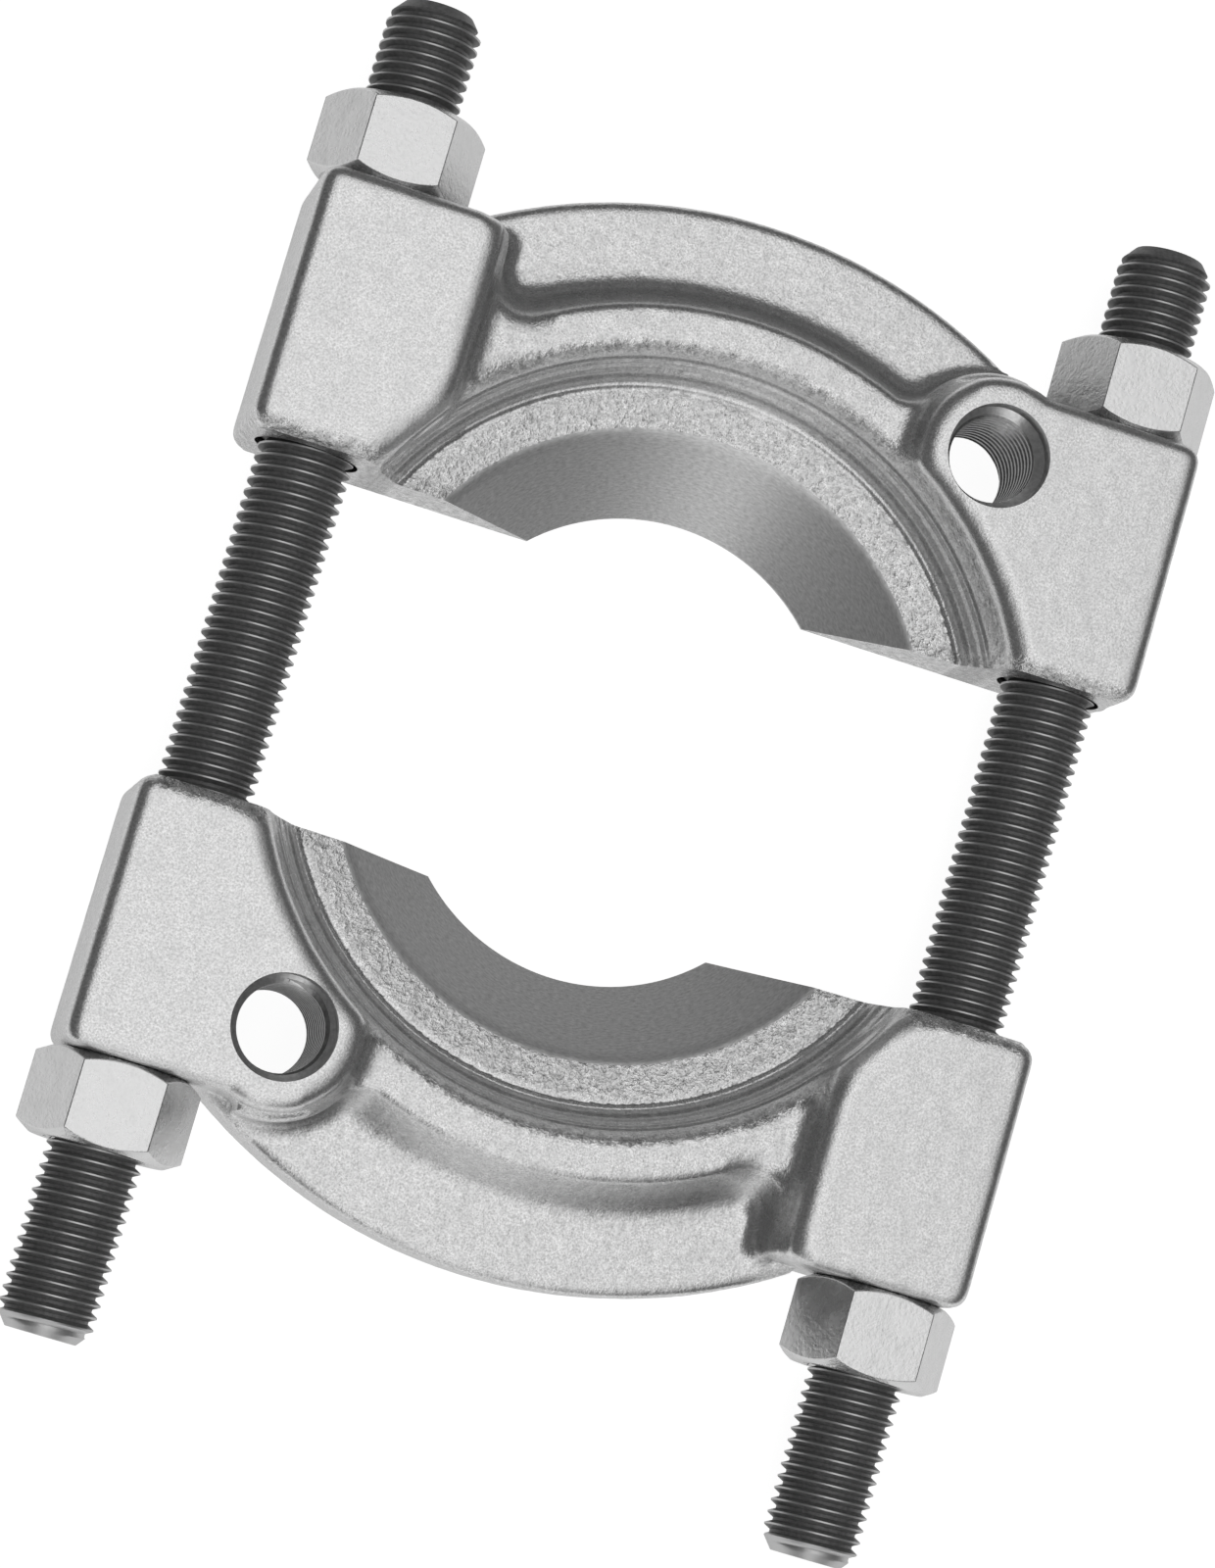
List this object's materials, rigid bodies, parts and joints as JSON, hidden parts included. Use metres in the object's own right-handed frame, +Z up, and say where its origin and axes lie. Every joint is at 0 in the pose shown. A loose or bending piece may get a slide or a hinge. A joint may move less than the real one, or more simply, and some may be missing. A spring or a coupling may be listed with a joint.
{
  "type": "bearing separator",
  "caption": "Bearing separator: forged jaw halves with a knife-edged round opening and threaded eyes, drawn together by hex nuts on long threaded studs.",
  "frame": {"origin": "on the flat back that it lies on, midway between the stud ends and midway between the studs", "axes": "+X across the studs, towards the upper half's eye; +Y along the studs; +Z up, towards the cup side"},
  "size_m": [0.1578, 0.226, 0.028],
  "materials": {
    "forged_steel": "satin, plated over a rough forging",
    "dark_steel": "dark oiled oxide",
    "plated_steel": "smooth bright plating"
  },
  "bodies": {
    "studs": {"left_stud": "dark_steel", "right_stud": "dark_steel"},
    "upper_half": {"upper_jaw": "forged_steel"},
    "lower_half": {"lower_jaw": "forged_steel"},
    "nut_upper_left": {"upper_left_nut": "plated_steel"},
    "nut_upper_right": {"upper_right_nut": "plated_steel"},
    "nut_lower_left": {"lower_left_nut": "plated_steel"},
    "nut_lower_right": {"lower_right_nut": "plated_steel"}
  },
  "joints": [
    {"name": "upper_jaw_slide", "type": "slide", "parent": "studs", "child": "upper_half", "axis": [0, -1, 0], "range_m": [-0.0178, 0.0292]},
    {"name": "upper_left_nut_turn", "type": "hinge", "parent": "upper_half", "child": "nut_upper_left", "pos_m": [-0.065, 0.0807, 0.014], "axis": [0, -1, 0], "range_deg": [-3205, 5257]},
    {"name": "upper_right_nut_turn", "type": "hinge", "parent": "upper_half", "child": "nut_upper_right", "pos_m": [0.065, 0.0807, 0.014], "axis": [0, -1, 0], "range_deg": [-3205, 5257]},
    {"name": "lower_jaw_slide", "type": "slide", "parent": "studs", "child": "lower_half", "axis": [0, 1, 0], "range_m": [-0.0306, 0.0292]},
    {"name": "lower_left_nut_turn", "type": "hinge", "parent": "lower_half", "child": "nut_lower_left", "pos_m": [-0.065, -0.0679, 0.014], "axis": [0, 1, 0], "range_deg": [-5509, 5257]},
    {"name": "lower_right_nut_turn", "type": "hinge", "parent": "lower_half", "child": "nut_lower_right", "pos_m": [0.065, -0.0679, 0.014], "axis": [0, 1, 0], "range_deg": [-5509, 5257]}
  ],
  "couplings": [
    {"joint": "upper_left_nut_turn", "follows": "upper_jaw_slide", "rad_per_m": 3141.6},
    {"joint": "upper_right_nut_turn", "follows": "upper_jaw_slide", "rad_per_m": 3141.6},
    {"joint": "lower_left_nut_turn", "follows": "lower_jaw_slide", "rad_per_m": 3141.6},
    {"joint": "lower_right_nut_turn", "follows": "lower_jaw_slide", "rad_per_m": 3141.6}
  ]
}
